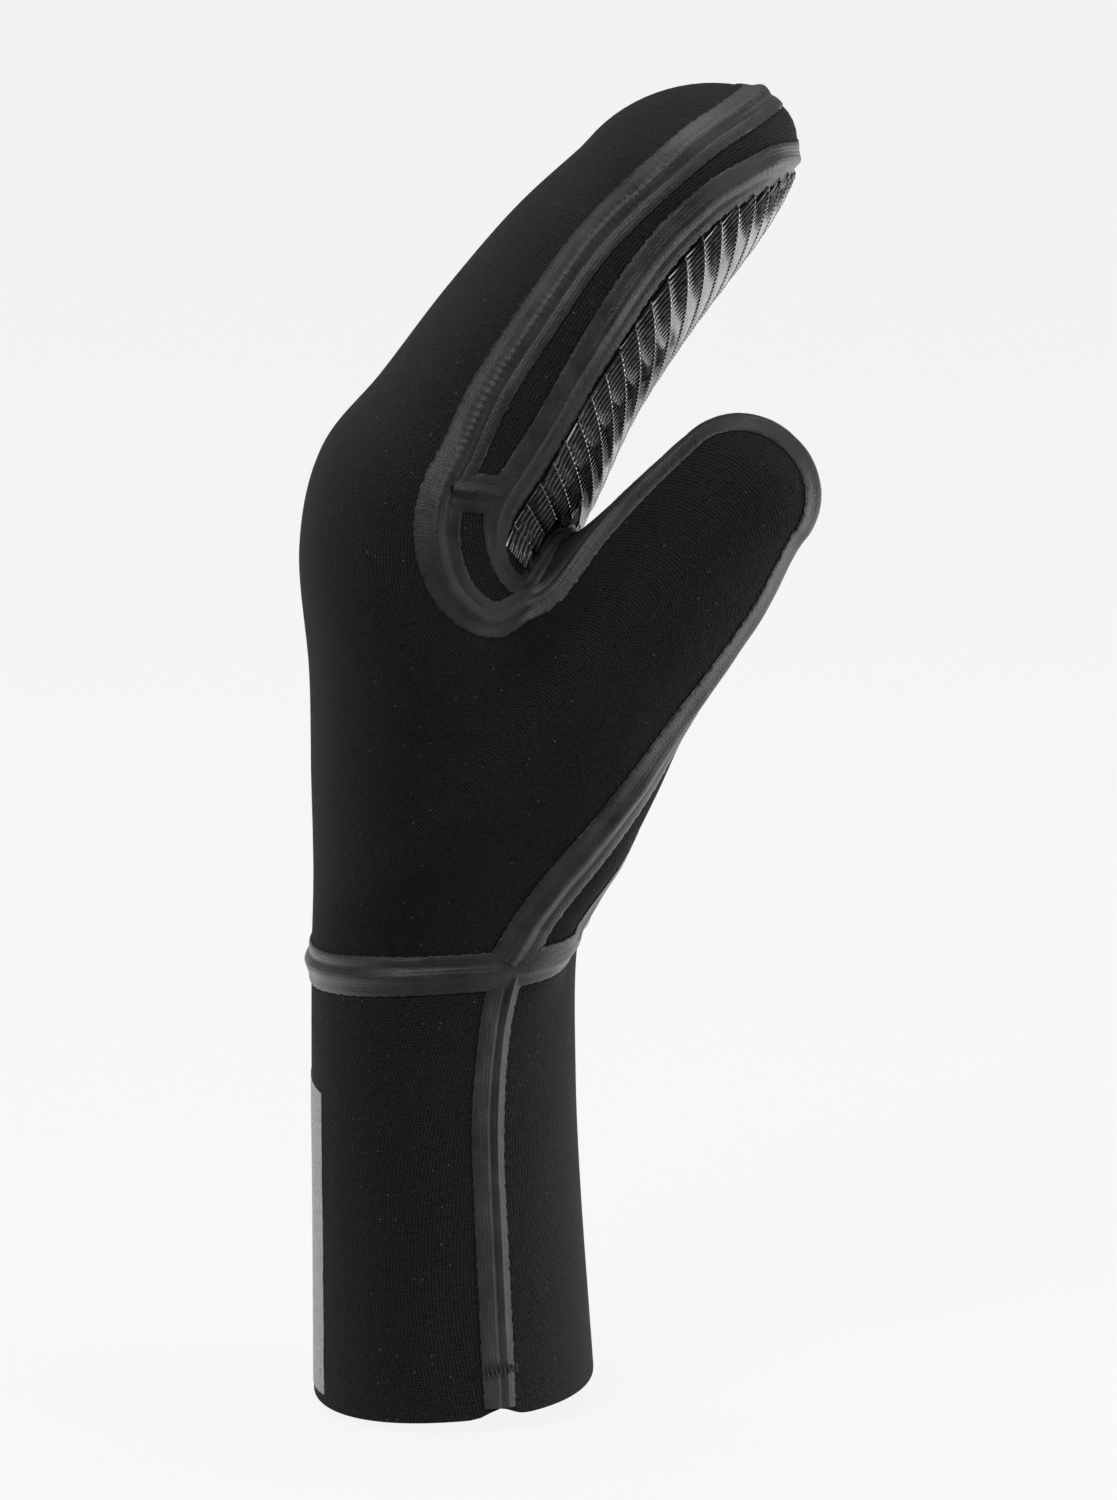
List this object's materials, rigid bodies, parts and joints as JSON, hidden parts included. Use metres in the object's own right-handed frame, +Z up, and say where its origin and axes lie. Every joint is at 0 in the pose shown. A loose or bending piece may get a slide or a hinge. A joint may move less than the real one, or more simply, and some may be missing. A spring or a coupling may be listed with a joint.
{
  "type": "wetsuit mitten",
  "caption": "Left-hand neoprene wetsuit mitten with pre-curved finger pouch, separate thumb, taped seams, long cuff and ribbed rubber grip on the palm, held in its worn shape.",
  "frame": {"origin": "centre of the cuff's mouth, where the wrist goes in", "axes": "+Z up the cuff towards the fingers, -X the back of the hand, +X the palm side, -Y the thumb side, +Y the little-finger side"},
  "size_m": [0.114, 0.1023, 0.2904],
  "materials": {
    "neoprene_knit": "matte black fine knit over foam",
    "seam_tape": "satin dark grey moulded rubber",
    "grip_rubber": "glossy black ribbed rubber",
    "reflective_print": "silver grey reflective print",
    "thread": "black polyester thread"
  },
  "bodies": {
    "root": {"back_panel": "neoprene_knit", "palm_panel": "neoprene_knit", "finger_gusset": "neoprene_knit", "thumb_panel": "neoprene_knit", "cuff": "neoprene_knit", "back_seam_tape": "seam_tape", "palm_seam_tape": "seam_tape", "cross_seam_tape": "seam_tape", "wrist_tape": "seam_tape", "cuff_seam_tape": "seam_tape", "hem_bartack": "thread", "cuff_bar": "reflective_print", "grip_print": "grip_rubber"}
  },
  "joints": []
}
